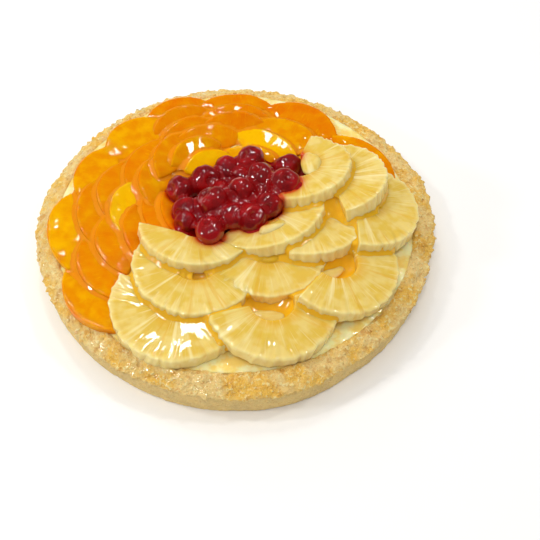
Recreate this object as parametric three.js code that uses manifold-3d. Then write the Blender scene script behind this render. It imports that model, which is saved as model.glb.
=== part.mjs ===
// Fruit tart: a baked crust filled with cream and covered with overlapping peach slices,
// half rings of pineapple and a pile of cherries. Millimetres, +Z up, origin under the middle.
import * as THREE from 'three';
import { mergeVertices } from 'three/addons/utils/BufferGeometryUtils.js';
import Module from 'manifold-3d';

const wasm = await Module();
wasm.setup();

// Driving dimensions of the crust and cream
const lipRadius = 127;
const lipHeight = 18;
const crestHeight = 24.5;
const rimWidth = 14;
const floorThickness = 7;
const wallTaper = 1.2;
const crustSteps = 72;
const rimRoughness = { outward: 1.6, upward: 1.2 };
const creamSteps = crustSteps / 2;
const creamEdgeHeight = 23;
const creamDome = 2.2;

// Driving dimensions of the fruit
const peach = {
  arcRadius: 35,
  outerThickness: 6.2,
  innerThickness: 3.4,
  tipThinning: 0.45,
  outlinePower: 2.3,
  outlineEase: 0.62,
  widestSpan: 0.94,
  lastStation: 0.93,
  stations: 6,
};
const pineapple = { holeRadius: 13, thickness: 8.6, cutShare: 0.86, steps: 11 };
const cherry = { dimple: 0.22, unevenness: 0.05, rows: 6, sides: 8 };

// How pieces meet
const gap = 0.34;
const sink = 1.5;
const cellSize = 2;
const peachSupport = 0.86;
const pineappleSupport = 0.87;
const steepest = THREE.MathUtils.degToRad(27);
const longestReach = 66;

// The rim isn't round: how far it stands out (mm) at each angle round the tart (degrees)
const rimSway = [
  [0, 1.2], [14, 2.4], [32, -0.4], [52, -1.6], [78, -1.6], [104, -0.8], [130, -1.4], [152, -2.0],
  [180, 0.2], [200, -1.6], [232, -0.6], [262, 1.2], [280, 2.0], [304, -1.2], [340, -1.6],
];

// Peach slices from the rim inwards: x and y of the middle of the rounded edge, the way
// that edge faces (degrees), length and width
const peachSlices = [
  [-97, -73, 218, 56, 24], [-118, -11, 184, 62, 26], [-104, 42, 162, 56, 30], [-77, 82, 130, 54, 34],
  [-44, 105, 115, 50, 25], [2, 110, 90, 56, 24], [56, 95, 58, 58, 30], [96, 53, 41, 58, 22],
  [-95, -46, 204, 54, 26], [-101, 4, 181, 56, 24], [-88, 26, 165, 54, 28], [-41, 94, 120, 46, 24],
  [3, 98, 90, 48, 22], [42, 80, 62, 54, 30],
  [-87, -25, 192, 52, 28], [-80, 6, 176, 48, 26], [-70, 46, 160, 56, 26], [-36, 82, 120, 44, 22],
  [1, 89, 92, 46, 22], [-69, -22, 196, 52, 24],
  [-56, -8, 203, 58, 26], [-63, 28, 176, 46, 24], [-51, 55, 155, 48, 24], [-18, 76, 98, 48, 22],
  [29, 67, 58, 50, 22],
  [-42, -14, 212, 56, 24], [-31, 60, 122, 40, 22], [-17, 52, 104, 38, 22], [16, 55, 72, 42, 22],
];

// Pineapple half rings from the rim inwards: x and y of the ring's middle, the way the
// round side faces (degrees), the radius, and how far from the middle the straight cut runs
const pineappleRings = [
  [-33, -70, 244, 41, -3], [20, -73, 286, 39, 0], [59, -47, 322, 38.5, -2], [77, -3, 358, 38.5, -3],
  [-24, -46, 243, 38.5, -2], [19, -33, 294, 37.5, -3], [46, -9, 342, 38, -2], [63, 14, 12, 35.5, -1],
  [-24, -17, 254, 36.5, 11], [21, -6, 310, 37.5, -2], [43, 22, 337, 33.5, -3],
];

// Cherries from the bottom of the pile up: x, y, radius, and how far others lift each one
const cherries = [
  [12, 37, 9.8, 0], [35, 34, 10.2, 0], [-4, 33, 9.4, 0], [-18, 23, 10, 0], [-34, 16, 9.2, 0],
  [-30, -4, 8.8, 0], [-30, -13, 7.4, -1], [-15, -26, 9, -3], [-1, -13, 8.6, 0], [11, -15, 9.8, -5],
  [22, -8, 8.2, -9], [33, 7, 9.6, -9], [4, 26, 9, 0], [-7, 11, 9, 0], [19, 7, 9.4, 3],
  [-14, -2, 10, 8], [5, 5, 9.6, 9], [18, 18, 9.4, 8],
];

// Seeded random numbers, the same on every run
function makeRandom(seed) {
  let state = seed;
  return () => {
    state = (state * 1664525 + 1013904223) % 4294967296;
    return state / 4294967296;
  };
}

function rimOffset(angle) {
  const degrees = THREE.MathUtils.euclideanModulo(THREE.MathUtils.radToDeg(angle), 360);
  const count = rimSway.length;
  let after = rimSway.findIndex(([at]) => at > degrees);
  if (after < 0) after = count;
  const [fromAt, fromValue] = rimSway[after - 1];
  const [toAt, toValue] = after < count ? rimSway[after] : [360, rimSway[0][1]];
  const share = (degrees - fromAt) / (toAt - fromAt);
  const eased = share * share * (3 - 2 * share);
  return fromValue + (toValue - fromValue) * eased;
}

function geometryOf(points, triangles) {
  const geometry = new THREE.BufferGeometry();
  geometry.setAttribute('position', new THREE.Float32BufferAttribute(points, 3));
  geometry.setIndex(triangles);
  return geometry;
}

// A closed skin over rings of equal size, with a middle point at both ends
function skinOverRings(rings, firstTip, lastTip) {
  const size = rings[0].length;
  const points = [...firstTip];
  rings.forEach((ring) => ring.forEach((point) => points.push(...point)));
  points.push(...lastTip);
  const last = rings.length * size + 1;
  const triangles = [];
  for (let side = 0; side < size; side += 1) {
    const next = (side + 1) % size;
    triangles.push(0, 1 + next, 1 + side);
    for (let row = 0; row < rings.length - 1; row += 1) {
      const here = 1 + row * size;
      const there = here + size;
      triangles.push(here + side, here + next, there + side);
      triangles.push(here + next, there + next, there + side);
    }
    triangles.push(last, last - size + side, last - size + next);
  }
  return geometryOf(points, triangles);
}

function meanPoint(ring) {
  return [0, 1, 2].map((axis) => ring.reduce((sum, point) => sum + point[axis], 0) / ring.length);
}

// Baked crust: a cup whose rim is a rough rounded shoulder behind a ragged lip
function crustGeometry() {
  const random = makeRandom(7);
  const inner = lipRadius - rimWidth;
  const profile = [
    { radius: lipRadius - wallTaper - 2.4, height: 0, sway: 0.8, rough: 0 },
    { radius: lipRadius - wallTaper - 0.6, height: 1.2, sway: 0.8, rough: 0.5 },
    { radius: lipRadius - wallTaper * 0.6, height: lipHeight * 0.45, sway: 0.9, rough: 0.6 },
    { radius: lipRadius - 1.2, height: lipHeight * 0.82, sway: 1, rough: 0.6 },
    { radius: lipRadius, height: lipHeight, sway: 1, rough: 1.1 },
    { radius: lipRadius - 2.4, height: lipHeight + 2.6, sway: 1, rough: 0.9 },
    { radius: lipRadius - 6, height: crestHeight - 1.5, sway: 0.7, rough: 0.8 },
    { radius: lipRadius - 9.5, height: crestHeight, sway: 0.4, rough: 0.8 },
    { radius: inner + 0.6, height: crestHeight - 0.7, sway: 0.1, rough: 0.3 },
    { radius: inner, height: crestHeight - 3, sway: 0, rough: 0 },
    { radius: inner - 2.5, height: floorThickness, sway: 0, rough: 0 },
  ];
  const rings = profile.map(({ radius, height, sway, rough }) => {
    const ring = [];
    for (let step = 0; step < crustSteps; step += 1) {
      const angle = (step / crustSteps) * Math.PI * 2;
      const reach = radius + sway * rimOffset(angle) + rough * (random() - 0.5) * rimRoughness.outward;
      const lift = height + rough * (random() - 0.5) * rimRoughness.upward;
      ring.push([reach * Math.cos(angle), reach * Math.sin(angle), Math.max(lift, 0)]);
    }
    return ring;
  });
  return skinOverRings(rings, [0, 0, 0], [0, 0, floorThickness]);
}

function creamHeight(x, y) {
  const share = Math.hypot(x, y) / (lipRadius - rimWidth);
  const ripple = 0.5 * Math.sin(x * 0.11 + 1) * Math.cos(y * 0.13);
  return creamEdgeHeight + creamDome * Math.max(1 - share * share, 0) + ripple * (1 - share);
}

// Cream filling: fills the cup, its top slightly domed and rippled
function creamGeometry() {
  const inner = lipRadius - rimWidth;
  const bottom = floorThickness + gap;
  const steps = creamSteps;
  const circle = (radius, heightAt) => {
    const ring = [];
    for (let step = 0; step < steps; step += 1) {
      const angle = (step / steps) * Math.PI * 2;
      const x = radius * Math.cos(angle);
      const y = radius * Math.sin(angle);
      ring.push([x, y, heightAt(x, y)]);
    }
    return ring;
  };
  const rings = [
    circle(inner - 3.1, () => bottom),
    circle(inner - 0.6, () => crestHeight - 3),
    circle(inner - 1.2, (x, y) => creamHeight(x, y) - 0.2),
    ...[0.94, 0.78, 0.56, 0.3].map((share) => circle(inner * share, creamHeight)),
  ];
  return skinOverRings(rings, [0, 0, bottom], [0, 0, creamHeight(0, 0)]);
}

// One peach slice: a crescent lying flat, its round edge at x = 0 and its body towards -x
function peachShape([x, y, facing, length, width], random) {
  const arc = peach.arcRadius * (0.94 + 0.14 * random());
  const halfSpan = Math.asin(Math.min(length / 2 / arc, peach.widestSpan));
  const fullness = 0.9 + 0.2 * random();
  const widthAt = (t) => {
    const outline = Math.max(1 - Math.pow(Math.abs(t), peach.outlinePower), 0);
    return width * Math.pow(outline, peach.outlineEase);
  };
  const thicknessAt = (t, share) => {
    const wedge = peach.outerThickness * (1 - share) + peach.innerThickness * share;
    return wedge * fullness * (1 - peach.tipThinning * Math.pow(Math.abs(t), 3));
  };
  const pointAt = (t, depth, height) => {
    const reach = arc - depth;
    const angle = t * halfSpan;
    return [reach * Math.cos(angle) - arc, reach * Math.sin(angle), height];
  };
  const section = [
    { across: 0.08, up: 0 }, { across: 0, up: 0.6 }, { across: 0.15, up: 1.02 },
    { across: 0.92, up: 0.95 }, { across: 0.97, up: 0 },
  ];
  const rings = [];
  for (let station = 0; station < peach.stations; station += 1) {
    const t = -peach.lastStation + (2 * peach.lastStation * station) / (peach.stations - 1);
    rings.push(section.map(({ across, up }) => {
      return pointAt(t, widthAt(t) * across, thicknessAt(t, across) * up);
    }).reverse());
  }
  const tip = (side) => pointAt(side, widthAt(peach.lastStation) * 0.4, peach.outerThickness * 0.25);
  return {
    x,
    y,
    facing,
    geometry: skinOverRings(rings, tip(-1), tip(1)),
    topAt(u, v) {
      const t = Math.atan2(v, u + arc) / halfSpan;
      const depth = arc - Math.hypot(u + arc, v);
      if (Math.abs(t) > 1 || depth < 0 || depth > widthAt(t)) return null;
      return thicknessAt(t, depth / widthAt(t));
    },
  };
}

// One pineapple half ring lying flat, the ring's middle at the origin, round side to +x
function pineappleShape([x, y, facing, radius, cut], random) {
  const thickness = pineapple.thickness * (0.93 + 0.14 * random());
  const halfSpan = Math.acos(cut / radius);
  const innerReach = (angle) => Math.max(pineapple.holeRadius, cut / Math.cos(angle));
  const section = [
    { across: 0, up: 0 }, { across: 0, up: 1 },
    { across: 0.94, up: 1 }, { across: 1, up: 0.8 }, { across: 0.98, up: 0 },
  ];
  const rings = [];
  for (let step = 0; step <= pineapple.steps; step += 1) {
    const angle = halfSpan * ((2 * step) / pineapple.steps - 1) * 0.99;
    const end = step === 0 || step === pineapple.steps ? pineapple.cutShare : 1;
    const hole = cut > 0 ? innerReach(angle) : pineapple.holeRadius;
    rings.push(section.map(({ across, up }) => {
      const reach = hole + (radius - hole) * across;
      const level = thickness * (0.5 + (up - 0.5) * end);
      return [reach * Math.cos(angle), reach * Math.sin(angle), level];
    }));
  }
  return {
    x,
    y,
    facing,
    geometry: skinOverRings(rings, meanPoint(rings[0]), meanPoint(rings[rings.length - 1])),
    topAt(u, v) {
      const reach = Math.hypot(u, v);
      const inside = u > cut && reach < radius && reach > pineapple.holeRadius;
      return inside ? thickness : null;
    },
  };
}

// One cherry: a ball a little flattened, with a dimple where the stone came out
function cherryGeometry(radius, random) {
  const turn = random() * Math.PI * 2;
  const squash = 0.9 + 0.08 * random();
  const rings = [];
  for (let row = 1; row < cherry.rows; row += 1) {
    const angle = (row / cherry.rows) * Math.PI;
    const ring = [];
    for (let side = 0; side < cherry.sides; side += 1) {
      const around = turn + (side / cherry.sides) * Math.PI * 2;
      const reach = radius * Math.sin(angle) * (1 + cherry.unevenness * (random() - 0.5));
      ring.push([reach * Math.cos(around), reach * Math.sin(around), -radius * squash * Math.cos(angle)]);
    }
    rings.push(ring);
  }
  const low = [0, 0, -radius * squash];
  const high = [0, 0, radius * squash * (1 - cherry.dimple)];
  const geometry = skinOverRings(rings, low, high);
  const lean = new THREE.Euler(random() * 0.9 - 0.2, random() * 0.9 - 0.45, 0);
  return geometry.applyMatrix4(new THREE.Matrix4().makeRotationFromEuler(lean));
}

// How high the tart stands so far, on a square grid of cells
const gridSpan = 140;
const gridCount = Math.round((2 * gridSpan) / cellSize) + 1;
const heights = new Float32Array(gridCount * gridCount);

function eachCell(x, y, reach, visit) {
  const low = (value) => Math.max(Math.ceil((value - reach + gridSpan) / cellSize), 0);
  const high = (value) => Math.min(Math.floor((value + reach + gridSpan) / cellSize), gridCount - 1);
  for (let row = low(y); row <= high(y); row += 1) {
    for (let column = low(x); column <= high(x); column += 1) {
      visit(column * cellSize - gridSpan, row * cellSize - gridSpan, row * gridCount + column);
    }
  }
}

eachCell(0, 0, gridSpan, (x, y, cell) => {
  const reach = Math.hypot(x, y);
  const inner = lipRadius - rimWidth;
  if (reach < inner) heights[cell] = creamHeight(x, y);
  else if (reach < lipRadius) heights[cell] = crestHeight;
});

// The plane z = base + slopeX * x + slopeY * y that fits the heights under a piece best
function fitPlane(samples) {
  const count = samples.length;
  const mean = (pick) => samples.reduce((sum, sample) => sum + pick(sample), 0) / count;
  const middleX = mean((s) => s.x);
  const middleY = mean((s) => s.y);
  const middleZ = mean((s) => s.z);
  const spread = (a, b) => mean((s) => a(s) * b(s));
  const dx = (s) => s.x - middleX;
  const dy = (s) => s.y - middleY;
  const dz = (s) => s.z - middleZ;
  const xx = spread(dx, dx);
  const yy = spread(dy, dy);
  const xy = spread(dx, dy);
  const determinant = xx * yy - xy * xy;
  let slopeX = (spread(dx, dz) * yy - spread(dy, dz) * xy) / determinant;
  let slopeY = (spread(dy, dz) * xx - spread(dx, dz) * xy) / determinant;
  const limit = Math.tan(steepest) / Math.max(Math.hypot(slopeX, slopeY), 1e-6);
  slopeX *= Math.min(limit, 1);
  slopeY *= Math.min(limit, 1);
  return { slopeX, slopeY };
}

// Lays a flat piece on what is already there and returns its place
function layDown(shape, support) {
  const turn = THREE.MathUtils.degToRad(shape.facing);
  const toLocal = (x, y) => {
    const dx = x - shape.x;
    const dy = y - shape.y;
    return [dx * Math.cos(turn) + dy * Math.sin(turn), dy * Math.cos(turn) - dx * Math.sin(turn)];
  };
  const samples = [];
  eachCell(shape.x, shape.y, longestReach, (x, y, cell) => {
    const top = shape.topAt(...toLocal(x, y));
    if (top !== null) samples.push({ x, y, z: heights[cell], top, cell });
  });
  const { slopeX, slopeY } = fitPlane(samples);
  const above = samples.map((s) => s.z - slopeX * s.x - slopeY * s.y).sort((a, b) => a - b);
  const base = above[Math.floor((above.length - 1) * support)] - sink;
  const normal = new THREE.Vector3(-slopeX, -slopeY, 1).normalize();
  samples.forEach(({ x, y, top, cell }) => {
    heights[cell] = Math.max(heights[cell], base + slopeX * x + slopeY * y + top / normal.z);
  });
  const place = new THREE.Object3D();
  place.position.set(shape.x, shape.y, base + slopeX * shape.x + slopeY * shape.y);
  place.quaternion.setFromUnitVectors(new THREE.Vector3(0, 0, 1), normal);
  place.rotateZ(turn);
  place.updateMatrix();
  return place;
}

// Drops a ball on the flat fruit and cream, lifts it by what lies under it in the pile,
// and returns its place
function dropBall(x, y, radius, lift) {
  let centre = 0;
  eachCell(x, y, radius, (cellX, cellY, cell) => {
    const away = Math.hypot(cellX - x, cellY - y);
    if (away < radius) {
      centre = Math.max(centre, heights[cell] + Math.sqrt(radius * radius - away * away));
    }
  });
  const place = new THREE.Object3D();
  place.position.set(x, y, centre - sink + lift);
  place.updateMatrix();
  return place;
}

function solidOf(geometry) {
  const bare = geometry.clone();
  bare.deleteAttribute('normal');
  bare.deleteAttribute('uv');
  const merged = mergeVertices(bare, 1e-4);
  return new wasm.Manifold(new wasm.Mesh({
    numProp: 3,
    vertProperties: new Float32Array(merged.attributes.position.array),
    triVerts: new Uint32Array(merged.index.array),
  }));
}

// The same shape with its skin moved outwards, for cutting room out of what lies on it
function swollen(geometry, distance) {
  const grown = geometry.clone();
  grown.computeVertexNormals();
  const position = grown.attributes.position;
  const normal = grown.attributes.normal;
  for (let i = 0; i < position.count; i += 1) {
    position.setXYZ(
      i,
      position.getX(i) + normal.getX(i) * distance,
      position.getY(i) + normal.getY(i) * distance,
      position.getZ(i) + normal.getZ(i) * distance,
    );
  }
  return grown;
}

function meshFrom(solid, place) {
  const whole = solid.decompose().reduce((best, body) => (body.volume() > best.volume() ? body : best));
  const { vertProperties, triVerts } = whole.getMesh();
  const geometry = geometryOf(vertProperties, Array.from(triVerts));
  geometry.applyMatrix4(place.matrix.clone().invert());
  return geometry;
}

// Places a piece, kept for fitting once all are laid
const pieces = [];

function addPiece(name, geometry, place, material) {
  const world = geometry.clone().applyMatrix4(place.matrix);
  world.computeBoundingBox();
  pieces.push({ name, world, place, material, grown: solidOf(swollen(world, gap)) });
}

// Cuts room out of a piece for its neighbours and hangs it in the tart
function fitPiece(piece, cutters) {
  let solid = solidOf(piece.world);
  cutters.forEach((other) => {
    const near = other.world.boundingBox.clone().expandByScalar(1);
    if (near.intersectsBox(piece.world.boundingBox)) solid = solid.subtract(other.grown);
  });
  const mesh = new THREE.Mesh(meshFrom(solid, piece.place), piece.material);
  mesh.name = piece.name;
  mesh.applyMatrix4(piece.place.matrix);
  return mesh;
}

function numbered(word, index) {
  return `${word}_${String(index + 1).padStart(2, '0')}`;
}

const crustMaterial = new THREE.MeshStandardMaterial({ color: 0xdcb477, roughness: 0.85, metalness: 0 });
const creamMaterial = new THREE.MeshStandardMaterial({ color: 0xf0dc9a, roughness: 0.45, metalness: 0 });
const peachMaterial = new THREE.MeshStandardMaterial({ color: 0xf08c10, roughness: 0.2, metalness: 0 });
const pineappleMaterial = new THREE.MeshStandardMaterial({ color: 0xf0d878, roughness: 0.25, metalness: 0 });
const cherryMaterial = new THREE.MeshStandardMaterial({ color: 0x9c0818, roughness: 0.15, metalness: 0 });

const ground = new THREE.Object3D();
addPiece('crust', crustGeometry(), ground, crustMaterial);
addPiece('cream', creamGeometry(), ground, creamMaterial);

const peachRandom = makeRandom(21);
peachSlices.forEach((slice, index) => {
  const shape = peachShape(slice, peachRandom);
  addPiece(numbered('peach', index), shape.geometry, layDown(shape, peachSupport), peachMaterial);
});

const pineappleRandom = makeRandom(33);
pineappleRings.forEach((ring, index) => {
  const shape = pineappleShape(ring, pineappleRandom);
  addPiece(numbered('pineapple', index), shape.geometry, layDown(shape, pineappleSupport), pineappleMaterial);
});

const cherryRandom = makeRandom(45);
cherries.forEach(([x, y, radius, lift], index) => {
  const geometry = cherryGeometry(radius, cherryRandom);
  addPiece(numbered('cherry', index), geometry, dropBall(x, y, radius, lift), cherryMaterial);
});

// Crust and cream stay whole, flat fruit makes room for what lies on it, and cherries for
// what they lie on
const tart = new THREE.Group();
const isCherry = (piece) => piece.material === cherryMaterial;
pieces.forEach((piece, index) => {
  const base = pieces.slice(0, Math.min(index, 2));
  const above = pieces.slice(Math.max(index + 1, 2)).filter((other) => !isCherry(other));
  let cutters = [...base, ...above];
  if (index < 2) cutters = [];
  if (isCherry(piece)) cutters = pieces.slice(0, index);
  tart.add(fitPiece(piece, cutters));
});

// Moves the tart so that its middle stands over the origin
const extent = new THREE.Box3().setFromObject(tart);
tart.position.set(-(extent.min.x + extent.max.x) / 2, -(extent.min.y + extent.max.y) / 2, 0);

export default tart;
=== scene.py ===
import math
import random

import bpy
import numpy as np
from mathutils import Matrix, Vector, noise


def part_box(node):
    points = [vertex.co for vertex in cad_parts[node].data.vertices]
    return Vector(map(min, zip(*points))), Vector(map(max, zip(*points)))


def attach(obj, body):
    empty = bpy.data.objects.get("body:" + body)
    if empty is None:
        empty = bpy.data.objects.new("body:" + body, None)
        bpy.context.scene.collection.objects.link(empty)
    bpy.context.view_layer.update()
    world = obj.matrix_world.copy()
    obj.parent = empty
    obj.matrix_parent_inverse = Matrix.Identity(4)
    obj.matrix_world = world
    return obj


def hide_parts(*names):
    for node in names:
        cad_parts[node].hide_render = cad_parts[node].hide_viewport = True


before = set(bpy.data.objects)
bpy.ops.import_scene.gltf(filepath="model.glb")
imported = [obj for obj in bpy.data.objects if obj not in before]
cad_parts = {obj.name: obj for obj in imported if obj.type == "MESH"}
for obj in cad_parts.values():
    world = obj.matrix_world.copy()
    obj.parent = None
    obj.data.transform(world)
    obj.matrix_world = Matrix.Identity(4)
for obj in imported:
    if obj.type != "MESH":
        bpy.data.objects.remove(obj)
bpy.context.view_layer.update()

mm = 0.001
noise.seed_set(8)  # noise_vector would otherwise change with the clock
print("frame loaded:", len(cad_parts), "nodes")


# small helpers

def selectOnly(piece):
    bpy.ops.object.select_all(action="DESELECT")
    piece.select_set(True)
    bpy.context.view_layer.objects.active = piece


def editAll(piece):
    selectOnly(piece)
    bpy.ops.object.mode_set(mode="EDIT")
    bpy.ops.mesh.select_all(action="SELECT")


def leaveEdit():
    bpy.ops.object.mode_set(mode="OBJECT")


def applyModifier(piece, kind, **settings):
    selectOnly(piece)
    modifier = piece.modifiers.new(kind.lower(), kind)
    for name, value in settings.items():
        setattr(modifier, name, value)
    bpy.ops.object.modifier_apply(modifier=modifier.name)


def newestAs(name):
    piece = bpy.context.object
    piece.name = name
    piece.data.name = name
    return piece


def copyOf(piece, name):
    copy = piece.copy()
    copy.data = piece.data.copy()
    copy.name = name
    copy.data.name = name
    bpy.context.scene.collection.objects.link(copy)
    return copy


def discard(*pieces):
    for piece in pieces:
        bpy.data.objects.remove(piece)


def pointsOf(piece):
    found = np.empty(len(piece.data.vertices) * 3, np.float32)
    piece.data.vertices.foreach_get("co", found)
    return found.reshape(-1, 3).astype(float)


def setPoints(piece, points):
    piece.data.vertices.foreach_set("co", points.astype(np.float32).ravel())
    piece.data.update()


def setValues(piece, name, values):
    kind = "FLOAT_VECTOR" if np.ndim(values) == 2 else "FLOAT"
    layer = piece.data.attributes.new(name, kind, "POINT")
    field = "vector" if kind == "FLOAT_VECTOR" else "value"
    layer.data.foreach_set(field, np.asarray(values, np.float32).ravel())


def lumps(points, size, seed):
    shift = Vector((seed * 7.3, seed * 3.1, seed * 5.7))
    return np.array([noise.noise(Vector(p) / size + shift) for p in points])


def lumpsVector(points, size, seed):
    shift = Vector((seed * 4.1, seed * 9.3, seed * 2.7))
    return np.array([noise.noise_vector(Vector(p) / size + shift)[:] for p in points])


def joined(pieces, name):
    copies = [copyOf(piece, f"{name}_{i}") for i, piece in enumerate(pieces)]
    bpy.ops.object.select_all(action="DESELECT")
    for copy in copies:
        copy.select_set(True)
    bpy.context.view_layer.objects.active = copies[0]
    bpy.ops.object.join()
    return newestAs(name)


def smoothShade(piece):
    selectOnly(piece)
    bpy.ops.object.shade_smooth()


# camera, light and floor

view = {
    "elevation": 50.5,
    "distance": 600,
    "aimHeight": 17,
    "roll": -1.4,
    "fieldOfView": 32.4,
    "shiftX": 0.0657,
    "shiftY": -0.0830,
}


def makeCamera():
    up = math.radians(view["elevation"])
    reach = view["distance"] * mm
    aim = view["aimHeight"] * mm
    place = (0, -math.cos(up) * reach, math.sin(up) * reach + aim)
    bpy.ops.object.camera_add(location=place)
    camera = bpy.context.object
    camera.name = "tartCamera"
    camera.rotation_mode = "ZYX"
    camera.rotation_euler = (math.pi / 2 - up, 0, math.radians(view["roll"]))
    camera.data.sensor_width = 36
    camera.data.lens = 18 / math.tan(math.radians(view["fieldOfView"]) / 2)
    camera.data.shift_x = view["shiftX"]
    camera.data.shift_y = view["shiftY"]
    camera.data.clip_start = 0.01
    bpy.context.scene.camera = camera


# size and depth in metres, mirrored where the wet fruit may show the lamp
lights = {
    "ceiling": {"place": (-0.15, -0.15, 1.3), "size": 0.9, "depth": 0.9, "power": 1.6, "mirrored": False},
    "backLow": {"place": (0.05, 1.3, 0.42), "size": 0.7, "depth": 0.7, "power": 4.0, "mirrored": False},
    "left": {"place": (-1.0, -0.25, 0.6), "size": 0.12, "depth": 0.12, "power": 2.4, "mirrored": True},
    "front": {"place": (-0.10, -0.52, 1.08), "size": 0.17, "depth": 0.08, "power": 2.1, "mirrored": True},
    "sideLeft": {"place": (-0.72, 0.05, 0.92), "size": 0.09, "depth": 0.13, "power": 2.0, "mirrored": True},
    "sideRight": {"place": (0.66, 0.10, 0.95), "size": 0.09, "depth": 0.11, "power": 1.6, "mirrored": True},
    "windowA": {"place": (-0.087, 0.474, 0.972), "size": 0.08, "depth": 0.08, "power": 0.7, "mirrored": True},
    "windowB": {"place": (-0.256, 0.63, 0.89), "size": 0.035, "depth": 0.05, "power": 0.36, "mirrored": True},
    "streakA": {"place": (-0.13, 0.60, 1.00), "size": 0.03, "depth": 0.05, "power": 0.34, "mirrored": True},
    "streakB": {"place": (-0.45, 0.42, 0.95), "size": 0.03, "depth": 0.03, "power": 0.24, "mirrored": True},
    "streakC": {"place": (0.32, 0.75, 0.95), "size": 0.03, "depth": 0.03, "power": 0.24, "mirrored": True},
    "streakD": {"place": (0.10, 0.25, 1.15), "size": 0.03, "depth": 0.03, "power": 0.24, "mirrored": True},
}

room = {"daylight": 0.44, "mirrored": 0.06, "colour": (1, 0.985, 0.965, 1)}


def makeLights():
    for name, lamp in lights.items():
        bpy.ops.object.light_add(type="AREA", location=lamp["place"])
        light = bpy.context.object
        light.name = name
        light.data.shape = "RECTANGLE"
        light.data.size = lamp["size"]
        light.data.size_y = lamp["depth"]
        light.data.energy = lamp["power"]
        light.data.color = (1, 0.985, 0.96)
        light.visible_glossy = lamp["mirrored"]
        aim = Vector((0, 0, 0.02)) - Vector(lamp["place"])
        light.rotation_euler = aim.to_track_quat("-Z", "Y").to_euler()
    world = bpy.data.worlds.new("softRoom")
    bpy.context.scene.world = world
    world.use_nodes = True
    tree = world.node_tree
    daylight = tree.nodes["Background"]
    daylight.inputs["Color"].default_value = room["colour"]
    daylight.inputs["Strength"].default_value = room["daylight"]
    mirrored = addNode(tree, "ShaderNodeBackground", {"Color": room["colour"], "Strength": room["mirrored"]})
    rays = addNode(tree, "ShaderNodeLightPath")
    blend = addNode(tree, "ShaderNodeMixShader", {0: rays.outputs["Is Glossy Ray"]})
    tree.links.new(daylight.outputs[0], blend.inputs[1])
    tree.links.new(mirrored.outputs[0], blend.inputs[2])
    tree.links.new(blend.outputs[0], tree.nodes["World Output"].inputs[0])


def srgb(red, green, blue):
    share = [c / 255 for c in (red, green, blue)]
    return (*[c / 12.92 if c <= 0.04045 else ((c + 0.055) / 1.055) ** 2.4 for c in share], 1)


# building blocks for materials

def newMaterial(name):
    material = bpy.data.materials.new(name)
    material.use_nodes = True
    return material, material.node_tree


def feed(tree, node, values):
    # a socket is linked to the input, anything else becomes its value
    for name, value in values.items():
        if isinstance(value, bpy.types.NodeSocket):
            tree.links.new(value, node.inputs[name])
        else:
            node.inputs[name].default_value = value


def addNode(tree, kind, values=None, **settings):
    node = tree.nodes.new(kind)
    for name, value in settings.items():
        setattr(node, name, value)
    feed(tree, node, values or {})
    return node


def objectPlace(tree):
    return addNode(tree, "ShaderNodeTexCoord").outputs["Object"]


def noiseOf(tree, place, scale, detail=2.0, rough=0.5, stretch=None):
    if stretch:
        place = addNode(tree, "ShaderNodeMapping", {"Vector": place, "Scale": stretch}).outputs["Vector"]
    values = {"Vector": place, "Scale": scale, "Detail": detail, "Roughness": rough}
    return addNode(tree, "ShaderNodeTexNoise", values).outputs["Fac"]


def mapped(tree, value, low, high, toLow=0.0, toHigh=1.0, smooth=True):
    kind = "SMOOTHSTEP" if smooth else "LINEAR"
    values = {"Value": value, "From Min": low, "From Max": high, "To Min": toLow, "To Max": toHigh}
    return addNode(tree, "ShaderNodeMapRange", values, interpolation_type=kind).outputs["Result"]


def mathOf(tree, operation, first, second=0.0):
    return addNode(tree, "ShaderNodeMath", {0: first, 1: second}, operation=operation).outputs[0]


def mixed(tree, share, first, second):
    # inputs 6 and 7 and output 2 are the colour ones
    values = {0: share, 6: first, 7: second}
    return addNode(tree, "ShaderNodeMix", values, data_type="RGBA", blend_type="MIX").outputs[2]


def attributeOf(tree, name, output="Fac"):
    return addNode(tree, "ShaderNodeAttribute", attribute_name=name).outputs[output]


def bumpOf(tree, height, strength, distance, normal=None):
    values = {"Height": height, "Strength": strength, "Distance": distance}
    if normal:
        values["Normal"] = normal
    return addNode(tree, "ShaderNodeBump", values).outputs["Normal"]


def setShader(tree, values):
    feed(tree, tree.nodes["Principled BSDF"], values)


def newGroup(name, inputs, outputs):
    group = bpy.data.node_groups.new(name, "ShaderNodeTree")
    for label, kind, value in inputs:
        socket = group.interface.new_socket(label, in_out="INPUT", socket_type=kind)
        if value is not None:
            socket.default_value = value
    for label, kind in outputs:
        group.interface.new_socket(label, in_out="OUTPUT", socket_type=kind)
    given = group.nodes.new("NodeGroupInput").outputs
    return group, given, group.nodes.new("NodeGroupOutput").inputs


def makeMottleGroup():
    # soft blotches: 0 where the noise is under Low, Amount where it is over High
    group, given, result = newGroup("softMottle", [
        ("Place", "NodeSocketVector", None), ("Scale", "NodeSocketFloat", 100.0),
        ("Detail", "NodeSocketFloat", 2.0), ("Low", "NodeSocketFloat", 0.4),
        ("High", "NodeSocketFloat", 0.6), ("Amount", "NodeSocketFloat", 1.0),
    ], [("Mask", "NodeSocketFloat")])
    blotch = noiseOf(group, given["Place"], given["Scale"], given["Detail"], 0.55)
    group.links.new(mapped(group, blotch, given["Low"], given["High"], 0.0, given["Amount"]), result["Mask"])
    return group


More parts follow.
